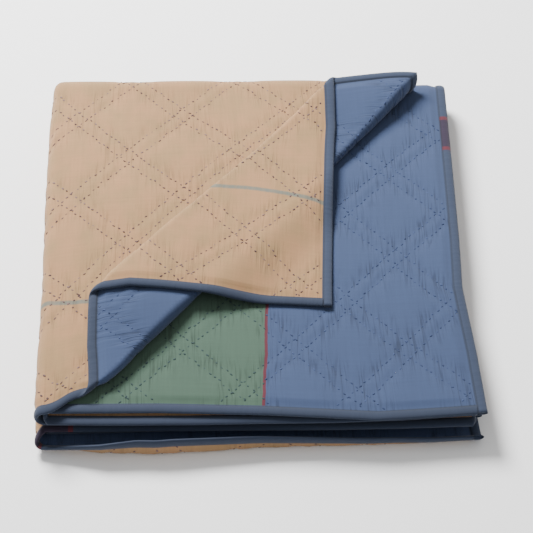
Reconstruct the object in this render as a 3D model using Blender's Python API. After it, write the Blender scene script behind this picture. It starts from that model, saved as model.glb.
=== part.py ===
"""Kantha quilt folded into a square pile, with one corner of the top ply turned back.

The quilted cloth is one piece. It is laid out flat, then folded: three cross folds make four
plies, one fold at the back doubles them to eight, and two slanting creases turn the free corner
of the top ply back on itself and forward again. Four binding strips wrap the four edges of the
flat cloth and follow the same folds. Lengths are metres, +Z is up, the front is towards -Y.
"""
import math

import bmesh
import bpy
import numpy as np

# Pile
PILE_WIDTH = 0.525
PILE_DEPTH = 0.525
PLY_PITCH = 0.0070
CLOTH_HALF = 0.00225
EDGE_HALF = 0.0012
TOP_RIGHT_X = 0.242
LEFT_FOLD_X = -0.2625
RIGHT_FOLD_X = 0.2535
INNER_FOLD_X = -0.2520
HALF_LENGTH = 0.5480

# Heights of three of the four plies above the middle of the pile
H_ONE = 0.5 * PLY_PITCH
H_TWO = 1.5 * PLY_PITCH
H_TOP = 3.5 * PLY_PITCH
MIDDLE_Z = H_TOP + CLOTH_HALF

# Binding strips
BINDING_WIDTH = 0.0100
BINDING_GAP = 0.0003
BINDING_THICK = 0.0007
TAPER_START = 0.0115
TAPER_END = 0.0220

# Quilting: a diamond lattice sewn in pairs of lines
DIAMOND_PITCH = 0.1040
DIAMOND_SHIFT_A = 0.012
DIAMOND_SHIFT_B = 0.030
PUFF = 0.0011

# The turned-back corner: each crease as its back end and its front end on the pile
CREASE_ONE_BACK = (0.2180, 0.2600)
CREASE_ONE_FRONT = (-0.2210, -0.2625)
CREASE_TWO_BACK = (0.1221, 0.2600)
CREASE_TWO_FRONT = (-0.1841, -0.0828)
CREASE_RADIUS = 0.5 * PLY_PITCH
CREASE_STEPS = 4
FLAP_SAG_START = 0.010
FLAP_SAG_RUN = 0.065
CREASE_SNAP = 0.0002
STRIP_END_ROOM = 0.002

# How far the free side edge of the outermost ply leans in, over and under the pile: place, lean
EDGE_LEAN = ((-0.30, 0.0), (0.06, 0.0), (0.26, 0.0240), (0.30, 0.0240))
EDGE_LEAN_LOWER = ((-0.28, -0.0170), (-0.20, -0.0150), (0.26, 0.0240), (0.30, 0.0240))

# Soft lift of the turned-back cloth: centre x, centre y, spread x, spread y, height
FLAP_LIFTS = (
    (-0.172, -0.089, 0.080, 0.090, 0.0165),
    (0.205, 0.245, 0.070, 0.060, 0.0140),
    (0.090, 0.255, 0.075, 0.070, 0.0150),
)

# Sideways pull of the turned-back cloth: centre x, centre y, spread x, spread y, pull x, pull y
FLAP_PULLS = (
    (0.180, 0.250, 0.100, 0.070, 0.0130, 0.0165),
    (-0.200, -0.200, 0.060, 0.070, 0.0040, -0.0040),
    (-0.175, -0.080, 0.070, 0.070, 0.0, -0.0110),
)

# Backward sweep of the front edge where the corner turns: centre x, centre y, spreads, pull
CORNER_SWEEP = ((-0.204, -0.258, 0.036, 0.045, 0.0130),)
SWEEP_RUN = 0.030

# How far the edge at the front of each ply stands forward, at even places from left to right
FORWARD_UPPER = {
    "top": (0.0010, -0.0160, -0.0234, -0.0367, -0.0500, -0.0473, -0.0445, -0.0440, -0.0435),
    "under": (-0.005, -0.004, 0.001, 0.010, 0.002),
    "two": (0.006, 0.009, 0.008, 0.008, 0.000),
    "one": (0.001, 0.000, -0.001, -0.002, -0.004),
}
FORWARD_LOWER = {
    "top": (0.0340, 0.0485, 0.0520, 0.0480, 0.0440, 0.0430, 0.0420, 0.0390, 0.0320),
    "under": (-0.002, -0.003, -0.008, -0.012, -0.018),
    "two": (0.004, 0.003, -0.001, -0.006, -0.010),
    "one": (0.006, 0.007, 0.008, 0.009, 0.006),
}
PLY_RUNS_LEFT = {"top": True, "one": False, "two": True, "under": False}

# The lowest front edge turns up and stands in front of the plies above it. Rows are a place
# across the flat cloth with an angle in degrees, and with a length of cloth that stands upright
CURL_START, CURL_END = 0.0290, TAPER_START
CURL_STEPS = 6
CURL_RADIUS = 0.0060
CURL_ANGLE = ((0.0, 60.0), (0.100, 76.0), (0.260, 88.0), (0.390, 88.0), (0.4918, 48.0), (0.5138, 0.0))
CURL_WALL = ((0.0, 0.0), (0.140, 0.001), (0.240, 0.004), (0.350, 0.009), (0.430, 0.007), (0.4918, 0.0))

# Inward bow of the right side and the left side: distance from the back, bow
RIGHT_BOW = ((0.00, 0.000), (0.15, 0.004), (0.26, 0.007), (0.34, 0.011), (0.44, 0.004), (0.54, 0.000))
BOW_START, BOW_RUN = 0.05, 0.20
LEFT_BOW = ((0.00, 0.003), (0.05, 0.001), (0.18, 0.000), (0.34, 0.002), (0.44, 0.001), (0.54, 0.000))

# Rise and fall of the upper plies: centre x, centre y, spread x, spread y, height
PILE_SWELLS = (
    (-0.120, 0.100, 0.120, 0.110, 0.0022),
    (0.200, -0.200, 0.110, 0.120, -0.0030),
    (0.020, -0.180, 0.090, 0.080, -0.0014),
    (0.180, 0.160, 0.100, 0.090, 0.0016),
)

# Mesh stations: cells across each ply and steps round each fold
CELLS = {"top": 16, "one": 3, "two": 3, "under": 16}
OUTER_FOLD_STEPS = 6
TIGHT_FOLD_STEPS = 4
TOP_CELLS = 17
BACK_STEPS = 8
LOWER_CELLS = 4

OUTER_RADIUS = 0.5 * (H_TOP - H_ONE)
TIGHT_RADIUS = 0.5 * (H_TWO - H_ONE)
LEFT_START_X = LEFT_FOLD_X + OUTER_RADIUS + CLOTH_HALF
RIGHT_START_X = RIGHT_FOLD_X - TIGHT_RADIUS - CLOTH_HALF
INNER_START_X = INNER_FOLD_X + TIGHT_RADIUS + CLOTH_HALF
BACK_AXIS_Y = 0.5 * PILE_DEPTH
FRONT_Y = -0.5 * PILE_DEPTH
UNDER_RIGHT_X = 0.5 * PILE_WIDTH

# The path of the cloth across the pile: name, length, radius, turn (left is +1)
PATH = (
    ("top", TOP_RIGHT_X - LEFT_START_X, 0.0, 0.0),
    ("outer_fold", math.pi * OUTER_RADIUS, OUTER_RADIUS, 1.0),
    ("one", RIGHT_START_X - LEFT_START_X, 0.0, 0.0),
    ("right_fold", math.pi * TIGHT_RADIUS, TIGHT_RADIUS, 1.0),
    ("two", RIGHT_START_X - INNER_START_X, 0.0, 0.0),
    ("inner_fold", math.pi * TIGHT_RADIUS, TIGHT_RADIUS, -1.0),
    ("under", UNDER_RIGHT_X - INNER_START_X, 0.0, 0.0),
)
CLOTH_WIDTH = sum(row[1] for row in PATH)
CLOTH_LENGTH = 2.0 * HALF_LENGTH
TOP_RUN = PATH[0][1]


def smooth(t):
    """Return an ease from 0 to 1."""
    t = np.clip(t, 0.0, 1.0)
    return t * t * (3.0 - 2.0 * t)


def table_value(table, t):
    """Read a table of places and values at t."""
    return np.interp(t, [row[0] for row in table], [row[1] for row in table])


def hills(table, x, y):
    """Return the sum of the soft bumps of a table at plan points."""
    total = np.zeros_like(x)
    for cx, cy, sx, sy, height in table:
        total = total + height * np.exp(-((x - cx) / sx) ** 2 - ((y - cy) / sy) ** 2)
    return total


def across(u):
    """Return x, height and heading of the cloth's middle at distances u across it."""
    x = np.zeros_like(u)
    h = np.zeros_like(u)
    heading = np.zeros_like(u)
    start, px, ph, angle = 0.0, TOP_RIGHT_X, H_TOP, math.pi
    last = len(PATH) - 1
    for index, (_, length, radius, turn) in enumerate(PATH):
        here = np.ones_like(u, dtype=bool)
        if index > 0:
            here &= u >= start
        if index < last:
            here &= u < start + length
        run = u[here] - start
        if radius == 0.0:
            x[here] = px + run * math.cos(angle)
            h[here] = ph + run * math.sin(angle)
            heading[here] = angle
            px += length * math.cos(angle)
            ph += length * math.sin(angle)
        else:
            cx = px - turn * radius * math.sin(angle)
            ch = ph + turn * radius * math.cos(angle)
            bend = angle + turn * run / radius
            x[here] = cx + turn * radius * np.sin(bend)
            h[here] = ch - turn * radius * np.cos(bend)
            heading[here] = bend
            angle += turn * math.pi
            px = cx + turn * radius * math.sin(angle)
            ph = ch - turn * radius * math.cos(angle)
        start += length
    return x, h, heading


def forward_keys(table):
    """Lay a table of front edges out along the width of the flat cloth."""
    keys, values = [], []
    start = 0.0
    for name, length, radius, _ in PATH:
        if radius == 0.0:
            rows = table[name]
            if PLY_RUNS_LEFT[name]:
                rows = rows[::-1]
            for k, value in enumerate(rows):
                keys.append(start + length * k / (len(rows) - 1))
                values.append(value)
        start += length
    return keys, values


UPPER_KEYS = forward_keys(FORWARD_UPPER)
LOWER_KEYS = forward_keys(FORWARD_LOWER)


def crease_frame(back, front):
    """Return a point on a crease and its unit normal towards the front right."""
    along = np.array(front) - np.array(back)
    along = along / np.linalg.norm(along)
    return np.array(back), np.array((-along[1], along[0]))


CREASE_ONE = crease_frame(CREASE_ONE_BACK, CREASE_ONE_FRONT)
CREASE_TWO = crease_frame(CREASE_TWO_BACK, CREASE_TWO_FRONT)


def turn_over(reach, height):
    """Roll cloth upward and back: reach past the crease and height in, the same pair out."""
    arc = math.pi * CREASE_RADIUS
    step = arc / CREASE_STEPS
    k = np.clip(np.floor(reach / step), 0, CREASE_STEPS - 1)
    part = np.clip(reach / step - k, 0.0, 1.0)
    inner = CREASE_RADIUS - height
    low, high = k * math.pi / CREASE_STEPS, (k + 1) * math.pi / CREASE_STEPS
    out = inner * ((1 - part) * np.sin(low) + part * np.sin(high))
    up = CREASE_RADIUS - inner * ((1 - part) * np.cos(low) + part * np.cos(high))
    out = np.where(reach < 0, reach, np.where(reach > arc, arc - reach, out))
    up = np.where(reach < 0, height, up)
    return out, up, np.clip(reach / arc, 0.0, 1.0)


def turn_corner(x, y, height):
    """Turn the free corner of the top ply back over crease one and forward over crease two."""
    point, normal = CREASE_ONE
    reach = (x - point[0]) * normal[0] + (y - point[1]) * normal[1]
    out, up, turned = turn_over(reach, height)
    x = x + (out - reach) * normal[0]
    y = y + (out - reach) * normal[1]
    point, normal = CREASE_TWO
    reach = -(x - point[0]) * normal[0] - (y - point[1]) * normal[1]
    reach = np.where(turned >= 1.0, reach, -1.0)
    out, rise, again = turn_over(reach, up - 2.0 * CREASE_RADIUS)
    x = x - (out - reach) * normal[0]
    y = y - (out - reach) * normal[1]
    up = np.where(again > 0.0, 2.0 * CREASE_RADIUS + rise, up)
    point, normal = CREASE_ONE
    past = (x - point[0]) * normal[0] + (y - point[1]) * normal[1] - FLAP_SAG_START
    up = up - 4.0 * CREASE_RADIUS * smooth(past / FLAP_SAG_RUN) * (again >= 1.0)
    up = up + hills(FLAP_LIFTS, x, y) * turned
    pull_x = hills([row[:5] for row in FLAP_PULLS], x, y) * turned
    pull_y = hills([row[:4] + row[5:] for row in FLAP_PULLS], x, y) * turned
    return x + pull_x, y + pull_y, up


def roll_front(u, v, outward):
    """Return the shift forward and the rise of the lowest front edge as it turns up."""
    reach = v - (CLOTH_LENGTH - CURL_START)
    span = CURL_START - CURL_END
    angle = np.radians(table_value(CURL_ANGLE, u))
    arc = CURL_RADIUS * angle
    travel = (arc + table_value(CURL_WALL, u)) * np.clip(reach / span, 0.0, 1.0)
    slack = (span - arc - table_value(CURL_WALL, u)) * np.clip(reach / span, 0.0, 1.0)
    bend = np.minimum(travel / CURL_RADIUS, angle)
    tail = np.maximum(travel - arc, 0.0) + np.maximum(reach - span, 0.0)
    ahead = (CURL_RADIUS + outward) * np.sin(bend) + tail * np.cos(angle)
    rise = CURL_RADIUS - (CURL_RADIUS + outward) * np.cos(bend) + tail * np.sin(angle)
    return -ahead - np.maximum(slack, 0.0) * np.cos(angle), rise


def fold(u, v, n):
    """Fold flat cloth: u across, v from the upper front edge, n out of the outer face."""
    x, h, heading = across(u)
    middle = h.copy()
    x = x + n * np.sin(heading)
    h = h - n * np.cos(heading)
    lower = v > HALF_LENGTH
    forward = np.where(lower, np.interp(u, *LOWER_KEYS), np.interp(u, *UPPER_KEYS))
    front = FRONT_Y - forward
    straight = BACK_AXIS_Y - front
    run = np.where(lower, CLOTH_LENGTH - v, v)
    share = (straight + 0.5 * math.pi * middle) / HALF_LENGTH
    run = run * share
    bend = np.maximum(run - straight, 0.0) / middle
    bend = np.where(lower, math.pi - bend, bend)
    y = np.where(run < straight, front + run, BACK_AXIS_Y + h * np.sin(bend))
    z = np.where(run < straight, np.where(lower, -h, h), h * np.cos(bend))

    lean = np.where(lower, table_value(EDGE_LEAN_LOWER, y), table_value(EDGE_LEAN, y))
    x = x - lean * np.maximum(1.0 - u / TOP_RUN, 0.0)
    corner = (u < TOP_RUN) & ~lower & (run < straight)
    cx, cy, up = turn_corner(x, y, n)
    cy = cy + hills(CORNER_SWEEP, cx, cy) * smooth((TOP_RUN - u) / SWEEP_RUN)
    x = np.where(corner, cx, x)
    y = np.where(corner, cy, y)
    z = np.where(corner, H_TOP + up, z)

    rolled = lower & (u < CURL_ANGLE[-1][0]) & (CLOTH_LENGTH - v < CURL_START)
    ry, rz = roll_front(u, v, h - middle)
    y = np.where(rolled, front + CURL_START * share + ry, y)
    z = np.where(rolled, rz - middle, z)
    z = z + hills(PILE_SWELLS, x, y) * np.maximum(z, 0.0) / H_TOP
    depth = BACK_AXIS_Y - y
    x = x - table_value(RIGHT_BOW, depth) * smooth((x - BOW_START) / BOW_RUN)
    x = x + table_value(LEFT_BOW, depth) * smooth((-x - BOW_START) / BOW_RUN)
    return x, y, z + MIDDLE_Z


def puff(u, v):
    """Return how far the quilted diamonds stand up at flat points."""
    a = (u + v) / math.sqrt(2.0) - DIAMOND_SHIFT_A
    b = (u - v) / math.sqrt(2.0) - DIAMOND_SHIFT_B
    rise_a = np.sin(math.pi * a / DIAMOND_PITCH) ** 2
    rise_b = np.sin(math.pi * b / DIAMOND_PITCH) ** 2
    return PUFF * np.sqrt(rise_a * rise_b)


def cloth_half(u, v, side):
    """Return half the thickness of the cloth at flat points, quilting included."""
    edge = np.minimum(np.minimum(u, CLOTH_WIDTH - u), np.minimum(v, CLOTH_LENGTH - v))
    body = smooth((edge - TAPER_START) / (TAPER_END - TAPER_START))
    half = EDGE_HALF + (CLOTH_HALF - EDGE_HALF) * body
    shown = (v < HALF_LENGTH) & ((u < TOP_RUN) | ((u > CLOTH_WIDTH - PATH[-1][1]) & (side < 0)))
    return half + puff(u, v) * body * shown


def spread(start, length, cells, edges):
    """Return stations along one run, closer at a bound edge."""
    near = [TAPER_START, TAPER_END]
    stations = list(np.linspace(0.0, length, cells + 1))
    if "first" in edges:
        stations = [0.0] + near + list(np.linspace(TAPER_END, length, cells + 1)[1:])
    if "last" in edges:
        stations = list(np.linspace(0.0, length - TAPER_END, cells + 1))
        stations += [length - d for d in near[::-1][1:]] + [length]
    return [start + s for s in stations]


def stations_across():
    """Return the stations of the cloth from its first side edge to its last."""
    out, start = [], 0.0
    for name, length, radius, _ in PATH:
        if radius > 0.0:
            steps = OUTER_FOLD_STEPS if name == "outer_fold" else TIGHT_FOLD_STEPS
            run = [start + length * k / steps for k in range(steps + 1)]
        else:
            edges = {"top": ("first",), "under": ("last",)}.get(name, ())
            run = spread(start, length, CELLS[name], edges)
        out += run if not out else run[1:]
        start += length
    return np.array(out)


def stations_along():
    """Return the stations of the cloth from its upper front edge to its lower one."""
    arc = 0.5 * math.pi * H_TOP
    straight = BACK_AXIS_Y - FRONT_Y
    split = HALF_LENGTH * straight / (straight + arc)
    shares = spread(0.0, split, TOP_CELLS, ("first",))
    arc_flat = 2.0 * (HALF_LENGTH - split)
    shares += [split + arc_flat * (k + 1) / BACK_STEPS for k in range(BACK_STEPS)]
    low = spread(CLOTH_LENGTH - split, split, LOWER_CELLS, ("last",))
    rolls = np.linspace(CURL_END, CURL_START, CURL_STEPS + 1)[1:]
    kept = [s for s in low[1:] if s < CLOTH_LENGTH - CURL_START or s > CLOTH_LENGTH - CURL_END - 1e-6]
    return np.array(shares + sorted(kept + [CLOTH_LENGTH - roll for roll in rolls]))


def flat_slab(first, second):
    """Return a closed flat slab with the stations given and faces at -1 and +1."""
    mesh = bmesh.new()
    columns, rows = len(first) - 1, len(second) - 1
    bmesh.ops.create_grid(mesh, x_segments=columns, y_segments=rows, size=0.5)
    made = bmesh.ops.extrude_face_region(mesh, geom=list(mesh.faces), use_keep_orig=True)
    lifted = [item for item in made["geom"] if isinstance(item, bmesh.types.BMVert)]
    bmesh.ops.translate(mesh, verts=lifted, vec=(0.0, 0.0, 1.0))
    bmesh.ops.recalc_face_normals(mesh, faces=mesh.faces)
    for vert in mesh.verts:
        i = round((vert.co.x + 0.5) * columns)
        j = round((vert.co.y + 0.5) * rows)
        vert.co = (first[i], second[j], 2.0 * vert.co.z - 1.0)
    return mesh


def crease_cuts():
    """Return the lines of the two creases on the unfolded top ply as points and normals."""
    cuts = []
    arc = math.pi * CREASE_RADIUS
    point_one, normal_one = CREASE_ONE
    point_two, normal_two = CREASE_TWO
    facing = normal_two - 2.0 * normal_one * float(normal_one @ normal_two)
    for k in range(CREASE_STEPS + 1):
        roll = arc * k / CREASE_STEPS
        cuts.append((point_one + normal_one * roll, normal_one))
        place = point_two - normal_two * roll
        reach = float((place - point_one) @ normal_one)
        cuts.append((place + normal_one * (arc - 2.0 * reach), facing))
    return cuts


def plan_of_top(u, v):
    """Return how flat points of the top ply lie on the pile before its corner is turned."""
    front = FRONT_Y - float(np.interp(u, *UPPER_KEYS))
    y = front + v * (BACK_AXIS_Y - front + 0.5 * math.pi * H_TOP) / HALF_LENGTH
    lean = float(table_value(EDGE_LEAN, y))
    return u + lean * (1.0 - u / TOP_RUN), y


def flat_of_top(x, y):
    """Undo plan_of_top."""
    lean = float(table_value(EDGE_LEAN, y))
    u = (x - lean) / (1.0 - lean / TOP_RUN)
    front = FRONT_Y - float(np.interp(u, *UPPER_KEYS))
    return u, (y - front) * HALF_LENGTH / (BACK_AXIS_Y - front + 0.5 * math.pi * H_TOP)


def remap_top(mesh, change):
    """Move the vertices of a flat mesh by one of the two maps above."""
    for vert in mesh.verts:
        if vert.co.x < TOP_RUN:
            vert.co.x, vert.co.y = change(vert.co.x, vert.co.y)


def score_creases(mesh):
    """Cut edges along the two creases into the part of a flat mesh that lies in the top ply."""
    remap_top(mesh, plan_of_top)
    for point, normal in crease_cuts():
        geom = set()
        for face in mesh.faces:
            middle = face.calc_center_median()
            if middle.x < TOP_RUN and middle.y < BACK_AXIS_Y:
                geom.add(face)
                geom.update(face.edges)
                geom.update(face.verts)
        bmesh.ops.bisect_plane(
            mesh,
            geom=list(geom),
            dist=CREASE_SNAP,
            plane_co=(TOP_RIGHT_X - point[0], point[1], 0.0),
            plane_no=(-normal[0], normal[1], 0.0),
        )
    remap_top(mesh, flat_of_top)


def split_quads(mesh):
    """Split every quad along the same flat diagonal, so cloth and binding bend alike."""
    for face in [f for f in mesh.faces if len(f.verts) == 4]:
        ring = sorted(face.verts, key=lambda vert: (vert.co.x + vert.co.y, vert.co.z))
        low, high = ring[0], ring[-1]
        if not any(low in edge.verts and high in edge.verts for edge in face.edges):
            bmesh.utils.face_split(face, low, high)
    bmesh.ops.triangulate(mesh, faces=[f for f in mesh.faces if len(f.verts) > 3])


def fold_up(mesh, name, collection, cloth):
    """Score and fold a flat mesh and link it as an object."""
    score_creases(mesh)
    split_quads(mesh)
    flat = np.array([vert.co for vert in mesh.verts])
    for vert, place in zip(mesh.verts, np.stack(fold(*flat.T), axis=-1)):
        vert.co = place
    if mesh.calc_volume(signed=True) < 0.0:
        bmesh.ops.reverse_faces(mesh, faces=mesh.faces)
    data = bpy.data.meshes.new(name)
    mesh.to_mesh(data)
    mesh.free()
    data.materials.append(cloth)
    obj = bpy.data.objects.new(name, data)
    collection.objects.link(obj)
    return obj


def material(name, colour, roughness):
    """Return a plain cloth material."""
    made = bpy.data.materials.new(name)
    made.use_nodes = True
    shader = made.node_tree.nodes["Principled BSDF"]
    shader.inputs["Base Color"].default_value = (*colour, 1.0)
    shader.inputs["Roughness"].default_value = roughness
    shader.inputs["Metallic"].default_value = 0.0
    return made


def quilted_cloth(collection, cloth):
    """Make the quilted cloth."""
    mesh = flat_slab(stations_across(), stations_along())
    for vert in mesh.verts:
        u, v, side = vert.co
        vert.co.z = side * float(cloth_half(np.array(u), np.array(v), side))
    return fold_up(mesh, "quilt_body", collection, cloth)


def strip_section(column, side):
    """Return the distance in from the edge and the height of one point of a strip's section."""
    skin = BINDING_GAP + (BINDING_THICK if side > 0 else 0.0)
    inward = BINDING_WIDTH if column in (0, 3) else -skin
    height = EDGE_HALF + skin
    return inward, (-height if column < 2 else height)


def binding_strip(name, collection, cloth, stations, place):
    """Make one binding strip; place turns distances along and in from its edge into flat cloth."""
    mesh = flat_slab(stations, range(4))
    for vert in mesh.verts:
        inward, height = strip_section(round(vert.co.y), vert.co.z)
        vert.co = (*place(vert.co.x, inward), height)
    return fold_up(mesh, name, collection, cloth)


def strip_stations(stations, low, high):
    """Return stations along a strip that ends at low and high."""
    inside = stations[(stations > low + STRIP_END_ROOM) & (stations < high - STRIP_END_ROOM)]
    return np.concatenate(([low], inside, [high]))


def main():
    """Build the quilt."""
    for obj in list(bpy.data.objects):
        bpy.data.objects.remove(obj, do_unlink=True)
    collection = bpy.data.collections.new("kantha_quilt")
    bpy.context.scene.collection.children.link(collection)
    peach = material("peach_cotton", (0.72, 0.50, 0.36), 0.9)
    blue = material("blue_binding", (0.11, 0.17, 0.29), 0.85)
    quilted_cloth(collection, peach)
    inset = BINDING_WIDTH + BINDING_GAP
    across_run = strip_stations(stations_across(), inset, CLOTH_WIDTH - inset)
    over = BINDING_GAP + BINDING_THICK
    along_run = strip_stations(stations_along(), -over, CLOTH_LENGTH + over)
    strips = {
        "binding_front_upper": (across_run, lambda s, inward: (s, inward)),
        "binding_front_lower": (across_run, lambda s, inward: (s, CLOTH_LENGTH - inward)),
        "binding_side_top": (along_run, lambda s, inward: (inward, s)),
        "binding_side_under": (along_run, lambda s, inward: (CLOTH_WIDTH - inward, s)),
    }
    for name, (stations, place) in strips.items():
        binding_strip(name, collection, blue, stations, place)


main()
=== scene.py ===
"""Folded kantha quilt: quilted cloth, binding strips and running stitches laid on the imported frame."""
import math

import bmesh
import bpy
import numpy as np
from mathutils import Matrix, Vector


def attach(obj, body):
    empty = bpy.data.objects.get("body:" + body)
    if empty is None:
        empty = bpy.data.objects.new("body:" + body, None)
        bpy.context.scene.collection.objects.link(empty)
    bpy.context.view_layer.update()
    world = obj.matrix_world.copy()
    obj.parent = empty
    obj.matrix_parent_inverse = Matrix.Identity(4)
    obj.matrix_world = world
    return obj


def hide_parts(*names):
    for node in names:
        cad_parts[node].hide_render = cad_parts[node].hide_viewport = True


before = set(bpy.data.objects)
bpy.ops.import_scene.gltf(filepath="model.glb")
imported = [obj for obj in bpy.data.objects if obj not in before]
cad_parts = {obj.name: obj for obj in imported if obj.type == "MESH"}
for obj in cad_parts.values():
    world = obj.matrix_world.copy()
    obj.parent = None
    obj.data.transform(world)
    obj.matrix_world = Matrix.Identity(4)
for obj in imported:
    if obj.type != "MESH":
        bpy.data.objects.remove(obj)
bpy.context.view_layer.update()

bl_info = {
    "name": "Kantha quilt",
    "version": (1, 0, 0),
    "blender": (4, 5, 0),
    "location": "3D View > Sidebar > Quilt",
    "description": "Builds a folded, hand-stitched cotton quilt around its packed frame",
    "category": "Object",
}

# Pile of plies, as in the part
PILE_WIDTH = 0.525
PILE_DEPTH = 0.525
PLY_PITCH = 0.0070
CLOTH_HALF = 0.00225
EDGE_HALF = 0.0012
TOP_RIGHT_X = 0.242
LEFT_FOLD_X = -0.2625
RIGHT_FOLD_X = 0.2535
INNER_FOLD_X = -0.2520
HALF_LENGTH = 0.5480
H_ONE = 0.5 * PLY_PITCH
H_TWO = 1.5 * PLY_PITCH
H_TOP = 3.5 * PLY_PITCH
MIDDLE_Z = H_TOP + CLOTH_HALF
BINDING_WIDTH = 0.0100
TAPER_START = 0.0115
TAPER_END = 0.0220

# The turned-back corner: each crease as its back end and its front end on the pile
CREASE_ONE_BACK = (0.2180, 0.2600)
CREASE_ONE_FRONT = (-0.2210, -0.2625)
CREASE_TWO_BACK = (0.1221, 0.2600)
CREASE_TWO_FRONT = (-0.1841, -0.0828)
CREASE_RADIUS = 0.5 * PLY_PITCH
CREASE_STEPS = 6
FLAP_SAG_START = 0.010
FLAP_SAG_RUN = 0.065
CREASE_SNAP = 0.0004

# How far the free side edge of the outermost ply leans in, over and under the pile: place, lean
EDGE_LEAN = ((-0.30, 0.0), (0.06, 0.0), (0.26, 0.0240), (0.30, 0.0240))
EDGE_LEAN_LOWER = ((-0.28, -0.0170), (-0.20, -0.0150), (0.26, 0.0240), (0.30, 0.0240))

# Soft lift of the turned-back cloth: centre x, centre y, spread x, spread y, height
FLAP_LIFTS = (
    (-0.172, -0.089, 0.080, 0.090, 0.0165),
    (0.205, 0.245, 0.070, 0.060, 0.0140),
    (0.090, 0.255, 0.075, 0.070, 0.0150),
)

# Sideways pull of the turned-back cloth: centre x, centre y, spread x, spread y, pull x, pull y
FLAP_PULLS = (
    (0.180, 0.250, 0.100, 0.070, 0.0130, 0.0165),
    (-0.200, -0.200, 0.060, 0.070, 0.0040, -0.0040),
    (-0.175, -0.080, 0.070, 0.070, 0.0, -0.0110),
)

# Backward sweep of the front edge where the corner turns: centre x, centre y, spreads, pull
CORNER_SWEEP = ((-0.204, -0.258, 0.036, 0.045, 0.0130),)
SWEEP_RUN = 0.030

# How far the edge at the front of each ply stands forward, at even places from left to right
FORWARD_UPPER = {
    "top": (0.0010, -0.0160, -0.0234, -0.0367, -0.0500, -0.0473, -0.0445, -0.0440, -0.0435),
    "under": (-0.005, -0.004, 0.001, 0.010, 0.002),
    "two": (0.006, 0.009, 0.008, 0.008, 0.000),
    "one": (0.001, 0.000, -0.001, -0.002, -0.004),
}
FORWARD_LOWER = {
    "top": (0.0340, 0.0485, 0.0520, 0.0480, 0.0440, 0.0430, 0.0420, 0.0390, 0.0320),
    "under": (-0.002, -0.003, -0.008, -0.012, -0.018),
    "two": (0.004, 0.003, -0.001, -0.006, -0.010),
    "one": (0.006, 0.007, 0.008, 0.009, 0.006),
}
PLY_RUNS_LEFT = {"top": True, "one": False, "two": True, "under": False}

# The lowest front edge turns up and stands in front of the plies above it. Rows are a place
# across the flat cloth with an angle in degrees, and with a length of cloth that stands upright
CURL_START, CURL_END = 0.0290, TAPER_START
CURL_RADIUS = 0.0060
CURL_ANGLE = ((0.0, 60.0), (0.100, 76.0), (0.260, 88.0), (0.390, 88.0), (0.4918, 48.0), (0.5138, 0.0))
CURL_WALL = ((0.0, 0.0), (0.140, 0.001), (0.240, 0.004), (0.350, 0.009), (0.430, 0.007), (0.4918, 0.0))

# Inward bow of the right side and the left side: distance from the back, bow
RIGHT_BOW = ((0.00, 0.000), (0.15, 0.004), (0.26, 0.007), (0.34, 0.011), (0.44, 0.004), (0.54, 0.000))
BOW_START, BOW_RUN = 0.05, 0.20
LEFT_BOW = ((0.00, 0.003), (0.05, 0.001), (0.18, 0.000), (0.34, 0.002), (0.44, 0.001), (0.54, 0.000))

# Rise and fall of the upper plies: centre x, centre y, spread x, spread y, height
PILE_SWELLS = (
    (-0.120, 0.100, 0.120, 0.110, 0.0022),
    (0.200, -0.200, 0.110, 0.120, -0.0030),
    (0.020, -0.180, 0.090, 0.080, -0.0014),
    (0.180, 0.160, 0.100, 0.090, 0.0016),
)

OUTER_RADIUS = 0.5 * (H_TOP - H_ONE)
TIGHT_RADIUS = 0.5 * (H_TWO - H_ONE)
LEFT_START_X = LEFT_FOLD_X + OUTER_RADIUS + CLOTH_HALF
RIGHT_START_X = RIGHT_FOLD_X - TIGHT_RADIUS - CLOTH_HALF
INNER_START_X = INNER_FOLD_X + TIGHT_RADIUS + CLOTH_HALF
BACK_AXIS_Y = 0.5 * PILE_DEPTH
FRONT_Y = -0.5 * PILE_DEPTH
UNDER_RIGHT_X = 0.5 * PILE_WIDTH
PATH = (
    ("top", TOP_RIGHT_X - LEFT_START_X, 0.0, 0.0),
    ("outer_fold", math.pi * OUTER_RADIUS, OUTER_RADIUS, 1.0),
    ("one", RIGHT_START_X - LEFT_START_X, 0.0, 0.0),
    ("right_fold", math.pi * TIGHT_RADIUS, TIGHT_RADIUS, 1.0),
    ("two", RIGHT_START_X - INNER_START_X, 0.0, 0.0),
    ("inner_fold", math.pi * TIGHT_RADIUS, TIGHT_RADIUS, -1.0),
    ("under", UNDER_RIGHT_X - INNER_START_X, 0.0, 0.0),
)
CLOTH_WIDTH = sum(row[1] for row in PATH)
CLOTH_LENGTH = 2.0 * HALF_LENGTH
TOP_RUN = PATH[0][1]
UNDER_START = CLOTH_WIDTH - PATH[-1][1]
FOLD_STARTS = {row[0]: sum(r[1] for r in PATH[:i]) for i, row in enumerate(PATH)}

# Quilting lines: pitch and place of the first pair of each family on the two halves of the width
LATTICE_BREAK = 1.30
LATTICE_TOP = (0.100, 0.050, 0.105, 0.010)
LATTICE_UNDER = (0.095, 0.035, 0.100, 0.025)
PAIR_GAP = 0.0180

# Slow wander of the hand-sewn lines: how far, and turns of its wave in radians a metre
SEAM_WANDER = 0.003
WANDER_RATE = 14.0

# Bend of the teal stripe: place across the flat cloth, spread, and how far it goes back there.
# Past a second place it leans back again: place, slope, and how far at most
STRIPE_BEND = (0.130, 0.150, 0.031)
STRIPE_LEAN = (0.440, 0.14, 0.012)

# Mesh stations of the cloth: cells in each ply and fold
FINE_CELL = 0.0042
HIDDEN_CELLS = {"outer_fold": 14, "one": 6, "right_fold": 8, "two": 6, "inner_fold": 6}
BACK_STEPS = 14
LOWER_CELLS = 16

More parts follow.
